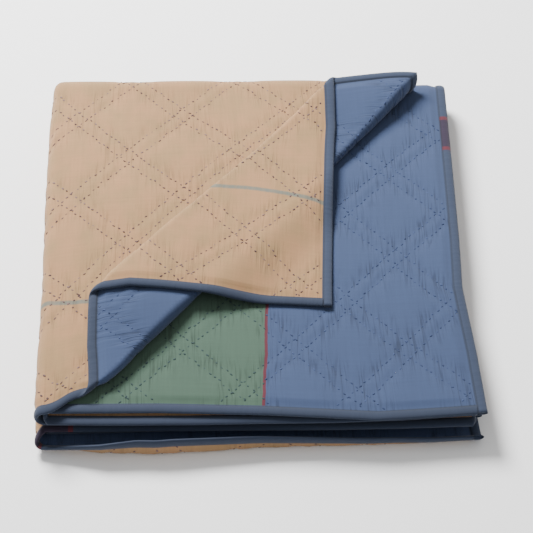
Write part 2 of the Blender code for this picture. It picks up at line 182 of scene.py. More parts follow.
# Section of a binding strip: distance in from the cloth's edge, height over the cloth's face
STRIP_SECTION = (
    (0.0101, 0.0003),
    (0.0094, 0.0009),
    (0.0079, 0.0014),
    (0.0055, 0.0016),
    (0.0031, 0.0015),
    (0.0011, 0.0010),
    (-0.0006, 0.0001),
    (-0.0013, -0.0008),
)
STRIP_LINING = 0.0003
STRIP_CELL = 0.0045

STRIP_OVERRUN = 0.0010
# Painted shade: the front binding strips are darkened because they face away from the light
FRONT_STRIP_PAINTED_SHADE = 0.80

# Purple lengths let into the binding, as places along a strip, and their red ends
PURPLE_FRONT = (0.498, 0.5565)
PURPLE_SIDE = (0.411, 0.471)
RED_END = 0.006

# Relief of the quilting: run over which cloth rises beside a seam, reach of the gathers and how
# closely they stand, and reach of the finest puckers and of the painted shade in their creases
RISE_RUN = 0.009
GATHER_REACH = 0.012
GATHER_RATE = 420.0
PUCKER_REACH = 0.014

# Stitches: how far they start from the binding, how far they stand out, and how much they differ
STITCH_MARGIN = 0.003
TURNED_MARGIN = 0.04
STITCH_SEAT = 0.00005
STITCH_HALF_HEIGHT = 0.00045
STITCH_DRIFT = 0.0007
STITCH_TURN = 0.16

# Stage: floor, world, and each light's name, place, size and watts
FLOOR_HALF = 6.0
FLOOR_DROP = 0.0006
FLOOR_WHITE = (0.95, 0.95, 0.95, 1.0)
WORLD_STRENGTH = 0.62
LIGHTS = (
    ("key", (-0.9, 1.5, 1.9), 1.1, 215.0),
    ("fill", (0.6, -2.2, 2.0), 2.2, 4.0),
)
LIGHT_AIM = (0.0, 0.0, 0.03)

# Camera: turn, height angle, distance, aim, lens and roll
CAMERA_TURN = -3.7369
CAMERA_LIFT = 50.1058
CAMERA_DISTANCE = 2.3067
CAMERA_AIM = (0.0142, -0.0292, 0.0300)
CAMERA_FOCAL_PIXELS = 1855.2
CAMERA_ROLL = -2.2972
PHOTO_PIXELS = 533
SENSOR_WIDTH = 36.0


def dye(red, green, blue):
    """Return a linear colour from display values between 0 and 255."""
    values = []
    for value in (red, green, blue):
        value /= 255.0
        values.append(value / 12.92 if value < 0.04045 else ((value + 0.055) / 1.055) ** 2.4)
    return tuple(values)


# Folded shape


def smooth(t):
    """Return an ease from 0 to 1."""
    t = np.clip(t, 0.0, 1.0)
    return t * t * (3.0 - 2.0 * t)


def table_value(table, t):
    """Read a table of places and values at t."""
    return np.interp(t, [row[0] for row in table], [row[1] for row in table])


def hills(table, x, y):
    """Return the sum of the soft bumps of a table at plan points."""
    total = np.zeros_like(x)
    for cx, cy, sx, sy, height in table:
        total = total + height * np.exp(-((x - cx) / sx) ** 2 - ((y - cy) / sy) ** 2)
    return total


def across(u):
    """Return x, height and heading of the cloth's middle at distances u across it."""
    x = np.zeros_like(u)
    h = np.zeros_like(u)
    heading = np.zeros_like(u)
    start, px, ph, angle = 0.0, TOP_RIGHT_X, H_TOP, math.pi
    last = len(PATH) - 1
    for index, (_, length, radius, turn) in enumerate(PATH):
        here = np.ones_like(u, dtype=bool)
        if index > 0:
            here &= u >= start
        if index < last:
            here &= u < start + length
        run = u[here] - start
        if radius == 0.0:
            x[here] = px + run * math.cos(angle)
            h[here] = ph + run * math.sin(angle)
            heading[here] = angle
            px += length * math.cos(angle)
            ph += length * math.sin(angle)
        else:
            cx = px - turn * radius * math.sin(angle)
            ch = ph + turn * radius * math.cos(angle)
            bend = angle + turn * run / radius
            x[here] = cx + turn * radius * np.sin(bend)
            h[here] = ch - turn * radius * np.cos(bend)
            heading[here] = bend
            angle += turn * math.pi
            px = cx + turn * radius * math.sin(angle)
            ph = ch - turn * radius * math.cos(angle)
        start += length
    return x, h, heading


def forward_keys(table):
    """Lay a table of front edges out along the width of the flat cloth."""
    keys, values = [], []
    for name, length, radius, _ in PATH:
        if radius == 0.0:
            rows = table[name]
            if PLY_RUNS_LEFT[name]:
                rows = rows[::-1]
            for k, value in enumerate(rows):
                keys.append(FOLD_STARTS[name] + length * k / (len(rows) - 1))
                values.append(value)
    return keys, values


UPPER_KEYS = forward_keys(FORWARD_UPPER)
LOWER_KEYS = forward_keys(FORWARD_LOWER)


def crease_frame(back, front):
    """Return a point on a crease and its unit normal towards the front right."""
    along = np.array(front) - np.array(back)
    along = along / np.linalg.norm(along)
    return np.array(back), np.array((-along[1], along[0]))


CREASE_ONE = crease_frame(CREASE_ONE_BACK, CREASE_ONE_FRONT)
CREASE_TWO = crease_frame(CREASE_TWO_BACK, CREASE_TWO_FRONT)


def turn_over(reach, height):
    """Roll cloth upward and back: reach past the crease and height in, the same pair out."""
    arc = math.pi * CREASE_RADIUS
    angle = np.clip(reach / CREASE_RADIUS, 0.0, math.pi)
    inner = CREASE_RADIUS - height
    out = np.where(reach < 0, reach, np.where(reach > arc, arc - reach, inner * np.sin(angle)))
    up = np.where(reach < 0, height, CREASE_RADIUS - inner * np.cos(angle))
    return out, up, np.clip(reach / arc, 0.0, 1.0)


def crease_reach(crease, x, y):
    """Return how far plan points lie past a crease."""
    point, normal = crease
    return (x - point[0]) * normal[0] + (y - point[1]) * normal[1]


def turn_corner(x, y, height):
    """Turn the free corner of the top ply back over crease one and forward over crease two."""
    normal = CREASE_ONE[1]
    reach = crease_reach(CREASE_ONE, x, y)
    out, up, turned = turn_over(reach, height)
    x = x + (out - reach) * normal[0]
    y = y + (out - reach) * normal[1]
    normal = CREASE_TWO[1]
    reach = np.where(turned >= 1.0, -crease_reach(CREASE_TWO, x, y), -1.0)
    out, rise, again = turn_over(reach, up - 2.0 * CREASE_RADIUS)
    x = x - (out - reach) * normal[0]
    y = y - (out - reach) * normal[1]
    up = np.where(again > 0.0, 2.0 * CREASE_RADIUS + rise, up)
    past = crease_reach(CREASE_ONE, x, y) - FLAP_SAG_START
    up = up - 4.0 * CREASE_RADIUS * smooth(past / FLAP_SAG_RUN) * (again >= 1.0)
    up = up + hills(FLAP_LIFTS, x, y) * turned
    pull_x = hills([row[:5] for row in FLAP_PULLS], x, y) * turned
    pull_y = hills([row[:4] + row[5:] for row in FLAP_PULLS], x, y) * turned
    return x + pull_x, y + pull_y, up


def roll_front(u, v, outward):
    """Return the shift forward and the rise of the lowest front edge as it turns up."""
    reach = v - (CLOTH_LENGTH - CURL_START)
    span = CURL_START - CURL_END
    angle = np.radians(table_value(CURL_ANGLE, u))
    arc = CURL_RADIUS * angle
    travel = (arc + table_value(CURL_WALL, u)) * np.clip(reach / span, 0.0, 1.0)
    slack = (span - arc - table_value(CURL_WALL, u)) * np.clip(reach / span, 0.0, 1.0)
    bend = np.minimum(travel / CURL_RADIUS, angle)
    tail = np.maximum(travel - arc, 0.0) + np.maximum(reach - span, 0.0)
    ahead = (CURL_RADIUS + outward) * np.sin(bend) + tail * np.cos(angle)
    rise = CURL_RADIUS - (CURL_RADIUS + outward) * np.cos(bend) + tail * np.sin(angle)
    return -ahead - np.maximum(slack, 0.0) * np.cos(angle), rise


def fold(u, v, n):
    """Fold flat cloth: u across, v from the upper front edge, n out of the outer face."""
    x, h, heading = across(u)
    middle = h.copy()
    x = x + n * np.sin(heading)
    h = h - n * np.cos(heading)
    lower = v > HALF_LENGTH
    forward = np.where(lower, np.interp(u, *LOWER_KEYS), np.interp(u, *UPPER_KEYS))
    front = FRONT_Y - forward
    straight = BACK_AXIS_Y - front
    run = np.where(lower, CLOTH_LENGTH - v, v)
    share = (straight + 0.5 * math.pi * middle) / HALF_LENGTH
    run = run * share
    bend = np.maximum(run - straight, 0.0) / middle
    bend = np.where(lower, math.pi - bend, bend)
    y = np.where(run < straight, front + run, BACK_AXIS_Y + h * np.sin(bend))
    z = np.where(run < straight, np.where(lower, -h, h), h * np.cos(bend))

    lean = np.where(lower, table_value(EDGE_LEAN_LOWER, y), table_value(EDGE_LEAN, y))
    x = x - lean * np.maximum(1.0 - u / TOP_RUN, 0.0)
    corner = (u < TOP_RUN) & ~lower & (run < straight)
    cx, cy, up = turn_corner(x, y, n)
    cy = cy + hills(CORNER_SWEEP, cx, cy) * smooth((TOP_RUN - u) / SWEEP_RUN)
    x = np.where(corner, cx, x)
    y = np.where(corner, cy, y)
    z = np.where(corner, H_TOP + up, z)

    rolled = lower & (u < CURL_ANGLE[-1][0]) & (CLOTH_LENGTH - v < CURL_START)
    ry, rz = roll_front(u, v, h - middle)
    y = np.where(rolled, front + CURL_START * share + ry, y)
    z = np.where(rolled, rz - middle, z)
    z = z + hills(PILE_SWELLS, x, y) * np.maximum(z, 0.0) / H_TOP
    depth = BACK_AXIS_Y - y
    x = x - table_value(RIGHT_BOW, depth) * smooth((x - BOW_START) / BOW_RUN)
    x = x + table_value(LEFT_BOW, depth) * smooth((-x - BOW_START) / BOW_RUN)
    return x, y, z + MIDDLE_Z


# Quilting lines and relief


def lattice_numbers(u):
    """Return pitch and first place of both families of quilting lines at u."""
    under = u > LATTICE_BREAK
    return [np.where(under, low, high) for high, low in zip(LATTICE_TOP, LATTICE_UNDER)]


def lattice(u, v):
    """Return places across both families of quilting lines, counted in diamonds."""
    pitch_a, first_a, pitch_b, first_b = lattice_numbers(u)
    a = (u + v) / math.sqrt(2.0) + SEAM_WANDER * np.sin(WANDER_RATE * v)
    b = (u - v) / math.sqrt(2.0) + SEAM_WANDER * np.sin(WANDER_RATE * u)
    return (a - first_a) / pitch_a, (b - first_b) / pitch_b


def seam_distances(u, v):
    """Return the distance to the nearest quilting line of each family."""
    place_a, place_b = lattice(u, v)
    pitch_a, _, pitch_b, _ = lattice_numbers(u)
    near_a = np.abs(np.abs(place_a - np.round(place_a)) * pitch_a - 0.5 * PAIR_GAP)
    near_b = np.abs(np.abs(place_b - np.round(place_b)) * pitch_b - 0.5 * PAIR_GAP)
    return near_a, near_b


def cloth_half(u, v, side, puff, pucker):
    """Return half the thickness of the cloth at flat points, quilting included."""
    edge = np.minimum(np.minimum(u, CLOTH_WIDTH - u), np.minimum(v, CLOTH_LENGTH - v))
    body = smooth((edge - TAPER_START) / (TAPER_END - TAPER_START))
    half = EDGE_HALF + (CLOTH_HALF - EDGE_HALF) * body
    near_a, near_b = seam_distances(u, v)
    rise = (1.0 - np.exp(-near_a / RISE_RUN)) * (1.0 - np.exp(-near_b / RISE_RUN))
    near = np.exp(-(np.minimum(near_a, near_b) / GATHER_REACH) ** 2)
    sway = 9.0 * np.sin(23.0 * v + 3.0 * side) + 5.0 * np.sin(31.0 * u - 17.0 * v)
    gathers = np.sin(GATHER_RATE * u + sway)
    shown = (u < FOLD_STARTS["one"]) | (v > HALF_LENGTH) | ((u > UNDER_START) & (side < 0))
    return half + (puff * rise + pucker * near * gathers) * body * shown


# Mesh helpers


def run_stations(start, length, cells, first=False, last=False):
    """Return stations along one run, with extra ones where a bound edge thins."""
    stations = set(np.linspace(0.0, length, cells + 1))
    if first:
        stations |= {TAPER_START, TAPER_END}
    if last:
        stations |= {length - TAPER_START, length - TAPER_END}
    return [start + s for s in sorted(stations)]


def stations_across():
    """Return the stations of the cloth from its first side edge to its last."""
    out = []
    for name, length, _, _ in PATH:
        cells = HIDDEN_CELLS.get(name, math.ceil(length / FINE_CELL))
        run = run_stations(FOLD_STARTS[name], length, cells, name == "top", name == "under")
        out += run if not out else run[1:]
    return np.array(out)


def stations_along():
    """Return the stations of the cloth from its upper front edge to its lower one."""
    straight = BACK_AXIS_Y - FRONT_Y
    split = HALF_LENGTH * straight / (straight + 0.5 * math.pi * H_TOP)
    arc_flat = 2.0 * (HALF_LENGTH - split)
    out = run_stations(0.0, split, math.ceil(split / FINE_CELL), first=True)
    out += [split + arc_flat * (k + 1) / BACK_STEPS for k in range(BACK_STEPS)]
    low = CLOTH_LENGTH - CURL_START
    out += run_stations(CLOTH_LENGTH - split, low - CLOTH_LENGTH + split, LOWER_CELLS)[1:]
    out += run_stations(low, CURL_START, 8, last=True)[1:]
    return np.array(out)


def flat_slab(first, second):
    """Return a closed flat slab with the stations given and faces at -1 and +1."""
    mesh = bmesh.new()
    columns, rows = len(first) - 1, len(second) - 1
    bmesh.ops.create_grid(mesh, x_segments=columns, y_segments=rows, size=0.5)
    made = bmesh.ops.extrude_face_region(mesh, geom=list(mesh.faces), use_keep_orig=True)
    lifted = [item for item in made["geom"] if isinstance(item, bmesh.types.BMVert)]
    bmesh.ops.translate(mesh, verts=lifted, vec=(0.0, 0.0, 1.0))
    bmesh.ops.recalc_face_normals(mesh, faces=mesh.faces)
    for vert in mesh.verts:
        i = round((vert.co.x + 0.5) * columns)
        j = round((vert.co.y + 0.5) * rows)
        vert.co = (first[i], second[j], 2.0 * vert.co.z - 1.0)
    return mesh


def crease_cuts():
    """Return the lines of the two creases on the unfolded top ply as points and normals."""
    cuts = []
    arc = math.pi * CREASE_RADIUS
    point_one, normal_one = CREASE_ONE
    point_two, normal_two = CREASE_TWO
    facing = normal_two - 2.0 * normal_one * float(normal_one @ normal_two)
    for k in range(CREASE_STEPS + 1):
        roll = arc * k / CREASE_STEPS
        cuts.append((point_one + normal_one * roll, normal_one))
        place = point_two - normal_two * roll
        reach = float((place - point_one) @ normal_one)
        cuts.append((place + normal_one * (arc - 2.0 * reach), facing))
    return cuts


def plan_of_top(u, v):
    """Return how flat points of the top ply lie on the pile before its corner is turned."""
    front = FRONT_Y - np.interp(u, *UPPER_KEYS)
    y = front + v * (BACK_AXIS_Y - front + 0.5 * math.pi * H_TOP) / HALF_LENGTH
    lean = table_value(EDGE_LEAN, y)
    return u + lean * (1.0 - u / TOP_RUN), y


def flat_of_top(x, y):
    """Undo plan_of_top."""
    lean = table_value(EDGE_LEAN, y)
    u = (x - lean) / (1.0 - lean / TOP_RUN)
    front = FRONT_Y - np.interp(u, *UPPER_KEYS)
    return u, (y - front) * HALF_LENGTH / (BACK_AXIS_Y - front + 0.5 * math.pi * H_TOP)


def remap_top(mesh, change):
    """Move the vertices of a flat mesh by one of the two maps above."""
    verts = [vert for vert in mesh.verts if vert.co.x < TOP_RUN]
    flat = np.array([vert.co[:2] for vert in verts]).reshape(-1, 2)
    for vert, x, y in zip(verts, *change(*flat.T)):
        vert.co.x, vert.co.y = x, y


def score_creases(mesh):
    """Cut edges along the two creases into the part of a flat mesh that lies in the top ply."""
    remap_top(mesh, plan_of_top)
    for point, normal in crease_cuts():
        across_cut = Vector((-normal[0], normal[1]))
        origin = Vector((TOP_RIGHT_X - point[0], point[1]))
        sides = {}
        for vert in mesh.verts:
            if vert.co.x < TOP_RUN + 0.001 and vert.co.y < BACK_AXIS_Y + 0.01:
                sides[vert] = (vert.co.xy - origin).dot(across_cut)
        geom = set()
        for face in mesh.faces:
            gaps = [sides.get(vert) for vert in face.verts]
            if None not in gaps and min(gaps) <= CREASE_SNAP and max(gaps) >= -CREASE_SNAP:
                geom.add(face)
                geom.update(face.edges)
                geom.update(face.verts)
        bmesh.ops.bisect_plane(
            mesh,
            geom=list(geom),
            dist=CREASE_SNAP,
            plane_co=(*origin, 0.0),
            plane_no=(*across_cut, 0.0),
        )
    remap_top(mesh, flat_of_top)
    bmesh.ops.triangulate(mesh, faces=[face for face in mesh.faces if len(face.verts) > 4])


def link_piece(mesh, name, material, body="root"):
    """Link a finished bmesh as a smooth-shaded piece that rides on a body."""
    data = bpy.data.meshes.new(name)
    mesh.to_mesh(data)
    mesh.free()
    data.polygons.foreach_set("use_smooth", np.ones(len(data.polygons), dtype=bool))
    data.materials.append(material)
    piece = bpy.data.objects.new(name, data)
    bpy.context.scene.collection.objects.link(piece)
    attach(piece, body)
    return piece


def fold_slab(mesh, shape, name, material):
    """Fold a flat slab into place and link it; return its flat places for a UV map."""
    score_creases(mesh)
    flat = np.array([vert.co for vert in mesh.verts])
    u, v, n = shape(*flat.T)
    for vert, place in zip(mesh.verts, np.stack(fold(u, v, n), axis=-1)):
        vert.co = place
    if mesh.calc_volume(signed=True) < 0.0:
        bmesh.ops.reverse_faces(mesh, faces=mesh.faces)
    piece = link_piece(mesh, name, material)
    return piece, u, v, flat


def keep_flat_map(piece, first, second):
    """Write a UV map of flat places in metres."""
    data = piece.data
    corners = np.zeros(len(data.loops), dtype=np.int32)
    data.loops.foreach_get("vertex_index", corners)
    layer = data.uv_layers.new(name="flat_cloth")
    layer.data.foreach_set("uv", np.stack((first[corners], second[corners]), axis=-1).ravel())


def keep_mask(piece, name, values):
    """Write one number a vertex as an attribute."""
    layer = piece.data.attributes.new(name, "FLOAT", "POINT")
    layer.data.foreach_set("value", np.asarray(values, dtype=np.float32))


# Materials


def new_group(name, inputs, outputs):
    """Start a shader node group with named inputs and outputs."""
    if name in bpy.data.node_groups:
        return bpy.data.node_groups[name], None, None, None
    group = bpy.data.node_groups.new(name, "ShaderNodeTree")
    for label, kind, default in inputs:
        socket = group.interface.new_socket(name=label, in_out="INPUT", socket_type=kind)
        if default is not None:
            socket.default_value = default
    for label, kind in outputs:
        group.interface.new_socket(name=label, in_out="OUTPUT", socket_type=kind)
    return group, group.nodes.new("NodeGroupInput"), group.nodes.new("NodeGroupOutput"), group.links


def calc(tree, operation, *values, clamp=False):
    """Add a Math node; values are numbers or sockets. Return its output."""
    node = tree.nodes.new("ShaderNodeMath")
    node.operation = operation
    node.use_clamp = clamp
    for index, value in enumerate(values):
        if isinstance(value, (int, float)):
            node.inputs[index].default_value = value
        else:
            tree.links.new(value, node.inputs[index])
    return node.outputs[0]


def mix_colour(tree, factor, first, second, blend="MIX"):
    """Add a colour Mix node; colours are tuples or sockets. Return its output."""
    node = tree.nodes.new("ShaderNodeMix")
    node.data_type = "RGBA"
    node.blend_type = blend
    for index, value in ((0, factor), (6, first), (7, second)):
        if isinstance(value, bpy.types.NodeSocket):
            tree.links.new(value, node.inputs[index])
        elif index == 0:
            node.inputs[index].default_value = value
        else:
            node.inputs[index].default_value = (*value[:3], 1.0)
    return node.outputs[2]


def stretched(tree, place, scale):
    """Return a vector socket: place scaled along u and v."""
    node = tree.nodes.new("ShaderNodeVectorMath")
    node.operation = "MULTIPLY"
    tree.links.new(place, node.inputs[0])
    node.inputs[1].default_value = scale
    return node.outputs[0]


def noise(tree, vector, scale=1.0, detail=2.0, roughness=0.5):
    """Add a Noise texture and return its value."""
    node = tree.nodes.new("ShaderNodeTexNoise")
    tree.links.new(vector, node.inputs["Vector"])
    node.inputs["Scale"].default_value = scale
    node.inputs["Detail"].default_value = detail
    node.inputs["Roughness"].default_value = roughness
    return node.outputs["Fac"]


def about_middle(tree, value, gain):
    """Return a noise value's distance from its middle, times a gain."""
    return calc(tree, "MULTIPLY", calc(tree, "SUBTRACT", value, 0.5), gain)


def scaled(tree, value, gain, base):
    """Return a value times a gain, plus a base."""
    return calc(tree, "MULTIPLY_ADD", value, gain, base)


def flat_parts(tree, place):
    """Return the two flat places as sockets of their own."""
    split = tree.nodes.new("ShaderNodeSeparateXYZ")
    tree.links.new(place, split.inputs[0])
    return split.outputs[0], split.outputs[1]


def mesh_mask(tree, name):
    """Return an attribute of the piece's own mesh."""
    node = tree.nodes.new("ShaderNodeAttribute")
    node.attribute_name = name
    return node.outputs["Fac"]


def woven_cotton():
    """Plain-woven cotton with uneven yarns: tone and height."""
    group, source, sink, links = new_group(
        "woven_cotton",
        [("Place", "NodeSocketVector", None)],
        [("Tone", "NodeSocketFloat"), ("Height", "NodeSocketFloat")],
    )
    if source is None:
        return group
    place = source.outputs["Place"]
    warp = noise(group, stretched(group, place, (1500.0, 60.0, 1.0)), detail=1.0)
    weft = noise(group, stretched(group, place, (60.0, 1500.0, 1.0)), detail=1.0)
    slub_warp = noise(group, stretched(group, place, (300.0, 8.0, 1.0)), detail=2.0)
    slub_weft = noise(group, stretched(group, place, (8.0, 300.0, 1.0)), detail=2.0)
    yarns = calc(group, "ADD", warp, weft)
    slubs = calc(group, "ADD", slub_warp, slub_weft)
    tone = scaled(group, yarns, 0.20, calc(group, "MULTIPLY", slubs, 0.30))
    links.new(tone, sink.inputs["Tone"])
    links.new(calc(group, "ADD", yarns, slubs), sink.inputs["Height"])
    return group


def sewn_puckers_and_shade():
    """Fine gathers that run along the cloth beside the stitching: painted shade lines in their creases,
    and height.
    """
    group, source, sink, links = new_group(
        "sewn_puckers_and_shade",
        [("Place", "NodeSocketVector", None), ("Near Stitching", "NodeSocketFloat", 1.0)],
        [("Painted Crease Shade", "NodeSocketFloat"), ("Height", "NodeSocketFloat")],
    )
    if source is None:
        return group
    place, near = source.outputs["Place"], source.outputs["Near Stitching"]
    gathers = noise(group, stretched(group, place, (200.0, 14.0, 1.0)), detail=1.0, roughness=0.4)
    crease = calc(group, "ABSOLUTE", calc(group, "SUBTRACT", gathers, 0.5))
    thin = calc(group, "SUBTRACT", 1.0, calc(group, "MULTIPLY", crease, 13.0), clamp=True)
    breaks = noise(group, stretched(group, place, (120.0, 24.0, 1.0)), detail=1.0)
    shown = calc(group, "MULTIPLY", calc(group, "SUBTRACT", breaks, 0.41), 5.0, clamp=True)
    # Painted shade: dark lines in the creases of the gathers, strongest near the stitching
    reach = calc(group, "MULTIPLY", calc(group, "MULTIPLY", thin, shown), near)
    links.new(reach, sink.inputs["Painted Crease Shade"])
    swell = about_middle(group, gathers, near)
    links.new(scaled(group, reach, -0.30, swell), sink.inputs["Height"])
    return group


def washed_tone():
    """Broad uneven fading of much-washed cotton."""
    group, source, sink, links = new_group(
        "washed_tone",
        [("Place", "NodeSocketVector", None)],
        [("Tone", "NodeSocketFloat")],
    )
    if source is None:
        return group
    place = source.outputs["Place"]
    broad = noise(group, stretched(group, place, (7.0, 7.0, 1.0)), detail=2.0)
    streaks = noise(group, stretched(group, place, (60.0, 5.0, 1.0)), detail=3.0)
    tone = scaled(group, broad, 0.6, calc(group, "MULTIPLY", streaks, 0.4))
    links.new(tone, sink.inputs["Tone"])
    return group


def stripe_mask():
    """Mask of a stripe between two places, with soft sides."""
    group, source, sink, links = new_group(
        "stripe_mask",
        [
            ("Place", "NodeSocketFloat", 0.0),
            ("Start", "NodeSocketFloat", 0.0),
            ("End", "NodeSocketFloat", 1.0),
            ("Softness", "NodeSocketFloat", 0.001),
        ],
        [("Mask", "NodeSocketFloat")],
    )
    if source is None:
        return group
    place, soft = source.outputs["Place"], source.outputs["Softness"]
    rise = calc(group, "DIVIDE", calc(group, "SUBTRACT", place, source.outputs["Start"]), soft)
    fall = calc(group, "DIVIDE", calc(group, "SUBTRACT", source.outputs["End"], place), soft)
    both = calc(group, "MINIMUM", calc(group, "ADD", rise, 0.5), calc(group, "ADD", fall, 0.5))
    links.new(calc(group, "MAXIMUM", calc(group, "MINIMUM", both, 1.0), 0.0), sink.inputs["Mask"])
    return group


def use_group(tree, group, **values):
    """Place a node group; values are numbers or sockets for its inputs."""
    node = tree.nodes.new("ShaderNodeGroup")
    node.node_tree = group
    for key, value in values.items():
        socket = node.inputs[key.replace("_", " ")]
        if isinstance(value, bpy.types.NodeSocket):
            tree.links.new(value, socket)
        else:
            socket.default_value = value
    return node


def stripe(tree, place, start, end, soft=0.001):
    """Return the mask of one stripe."""
    return use_group(tree, stripe_mask(), Place=place, Start=start, End=end, Softness=soft).outputs["Mask"]


def cloth_shader(name, roughness, sheen):
    """Start a cloth material and return its tree, its shader and its flat place."""
    made = bpy.data.materials.new(name)
    made.use_nodes = True
    tree = made.node_tree
    shader = tree.nodes["Principled BSDF"]
    shader.inputs["Roughness"].default_value = roughness
    shader.inputs["Specular IOR Level"].default_value = 0.25
    shader.inputs["Sheen Weight"].default_value = sheen
    shader.inputs["Sheen Roughness"].default_value = 0.6
    flat = tree.nodes.new("ShaderNodeUVMap")
    flat.uv_map = "flat_cloth"
    return made, tree, shader, flat.outputs["UV"]


def add_bump(tree, shader, height, strength, distance):
    """Join a height to the shader's normal."""
    bump = tree.nodes.new("ShaderNodeBump")
    bump.inputs["Strength"].default_value = strength
    bump.inputs["Distance"].default_value = distance
    tree.links.new(height, bump.inputs["Height"])
    tree.links.new(bump.outputs["Normal"], shader.inputs["Normal"])


def tint_surface(tree, shader, colour, tone):
    """Give the shader a colour made darker or paler by a tone."""
    shade = tree.nodes.new("ShaderNodeCombineXYZ")
    for socket in shade.inputs:
        tree.links.new(tone, socket)
    tinted = mix_colour(tree, 1.0, colour, shade.outputs[0], "MULTIPLY")
    tree.links.new(tinted, shader.inputs["Base Color"])


def wavering(tree, place, scale, reach):
    """Return an uneven offset of up to half the reach either way."""
    return about_middle(tree, noise(tree, stretched(tree, place, scale)), reach)


def patch_masks(tree, place, u, v, settings):
    """Return the masks of the green patch and of the red piping beside it."""
    edge = wavering(tree, place, (3.0, 40.0, 1.0), 0.004)
    line = calc(tree, "ADD", scaled(tree, v, settings.piping_slant, u), edge)
    piping = settings.piping_place
    half = 0.5 * settings.piping_width
    beside = stripe(tree, v, -0.05, settings.patch_height)
    patch = calc(tree, "MULTIPLY", stripe(tree, line, UNDER_START - 0.02, piping), beside)
    red = calc(tree, "MULTIPLY", stripe(tree, line, piping - half, piping + half, 0.0008), beside)
    return patch, red


def stripe_band(tree, place, u, v, settings):
    """Return the mask of the teal stripe, which bends back where the corner turns over."""
    centre, spread, reach = STRIPE_BEND
    away = calc(tree, "DIVIDE", calc(tree, "SUBTRACT", u, centre), spread)
    bend = calc(tree, "EXPONENT", calc(tree, "MULTIPLY", calc(tree, "MULTIPLY", away, away), -1.0))
    start, slope, most = STRIPE_LEAN
    past = calc(tree, "MAXIMUM", calc(tree, "SUBTRACT", u, start), 0.0)
    lean = calc(tree, "MINIMUM", calc(tree, "MULTIPLY", past, slope), most)
    line = scaled(tree, bend, -reach, calc(tree, "SUBTRACT", v, lean))
    line = calc(tree, "ADD", line, wavering(tree, place, (40.0, 3.0, 1.0), 0.003))
    half = 0.5 * settings.stripe_width
    band = stripe(tree, line, settings.stripe_place - half, settings.stripe_place + half, 0.0022)
    thin = noise(tree, stretched(tree, place, (240.0, 60.0, 1.0)))
    return calc(tree, "MULTIPLY", band, scaled(tree, thin, 0.5, 0.55), clamp=True)


def quilt_material(settings):
    """Two-faced quilt cotton: peach outside, blue with a green patch inside, piping and a stripe."""
    made, tree, shader, place = cloth_shader("quilt_cotton", 0.92, 0.10)
    u, v = flat_parts(tree, place)
    outer = mesh_mask(tree, "outer_face")
    near = mesh_mask(tree, "near_stitching")

    patch, red = patch_masks(tree, place, u, v, settings)
    inner = mix_colour(tree, patch, settings.blue, settings.green)
    inner = mix_colour(tree, red, inner, settings.red)
    blotches = noise(tree, stretched(tree, place, (26.0, 20.0, 1.0)), detail=2.0, roughness=0.6)
    blotches = calc(tree, "MULTIPLY", calc(tree, "SUBTRACT", blotches, 0.38), 4.0, clamp=True)
    outside = mix_colour(tree, blotches, settings.peach, settings.peach_worn)
    outside = mix_colour(tree, stripe_band(tree, place, u, v, settings), outside, settings.teal)
    colour = mix_colour(tree, outer, inner, outside)
    inset = BINDING_WIDTH + 0.0015
    middle = calc(
        tree,
        "MULTIPLY",
        stripe(tree, u, inset, CLOTH_WIDTH - inset),
        stripe(tree, v, inset, CLOTH_LENGTH - inset),
    )
    colour = mix_colour(tree, middle, settings.binding, colour)

    weave = use_group(tree, woven_cotton(), Place=place)
    pucker = use_group(tree, sewn_puckers_and_shade(), Place=place, Near_Stitching=near)
    faded = use_group(tree, washed_tone(), Place=place)
    tone = scaled(tree, weave.outputs["Tone"], 0.50, 0.75)
    tone = calc(tree, "ADD", tone, about_middle(tree, faded.outputs["Tone"], 0.30))
    # Painted shade of the gathers, deeper on the blue inner face than on the peach face
    depth = scaled(tree, outer, -0.20, 0.42)
    tone = calc(tree, "SUBTRACT", tone, calc(tree, "MULTIPLY", pucker.outputs["Painted Crease Shade"], depth))
    tint_surface(tree, shader, colour, tone)
    tree.links.new(scaled(tree, weave.outputs["Tone"], 0.10, 0.85), shader.inputs["Roughness"])
    height = scaled(tree, weave.outputs["Height"], 0.06, pucker.outputs["Height"])
    add_bump(tree, shader, height, 0.9, settings.pucker_depth)
    return made


def binding_material(name, settings, segments, painted_strip_shade):
    """Binding cotton with a sewn seam line; segments are purple lengths with red ends, and the last
    argument darkens the whole strip as painted shade.
    """
    made, tree, shader, place = cloth_shader(name, 0.88, 0.10)
    along, inward = flat_parts(tree, place)
    colour = settings.binding
    for start, end in segments:
        colour = mix_colour(tree, stripe(tree, along, start, end, 0.0006), colour, settings.red)
        inside = stripe(tree, along, start + RED_END, end - RED_END, 0.0006)
        colour = mix_colour(tree, inside, colour, settings.purple)
    weave = use_group(tree, woven_cotton(), Place=place)
    faded = use_group(tree, washed_tone(), Place=place)
    seam = stripe(tree, inward, BINDING_WIDTH - 0.0014, BINDING_WIDTH + 0.01, 0.0012)
    ruck = noise(tree, stretched(tree, place, (150.0, 40.0, 1.0)), detail=2.0)
    tone = scaled(tree, weave.outputs["Tone"], 0.30, 0.85)
    tone = calc(tree, "ADD", tone, about_middle(tree, faded.outputs["Tone"], 0.30))
    tone = scaled(tree, seam, -0.35, tone)
    # The strip's tone times its painted shade
    tint_surface(tree, shader, colour, calc(tree, "MULTIPLY", tone, painted_strip_shade))
    height = scaled(tree, weave.outputs["Height"], 0.06, calc(tree, "MULTIPLY", ruck, 0.6))
    add_bump(tree, shader, height, 0.7, settings.pucker_depth)
    return made


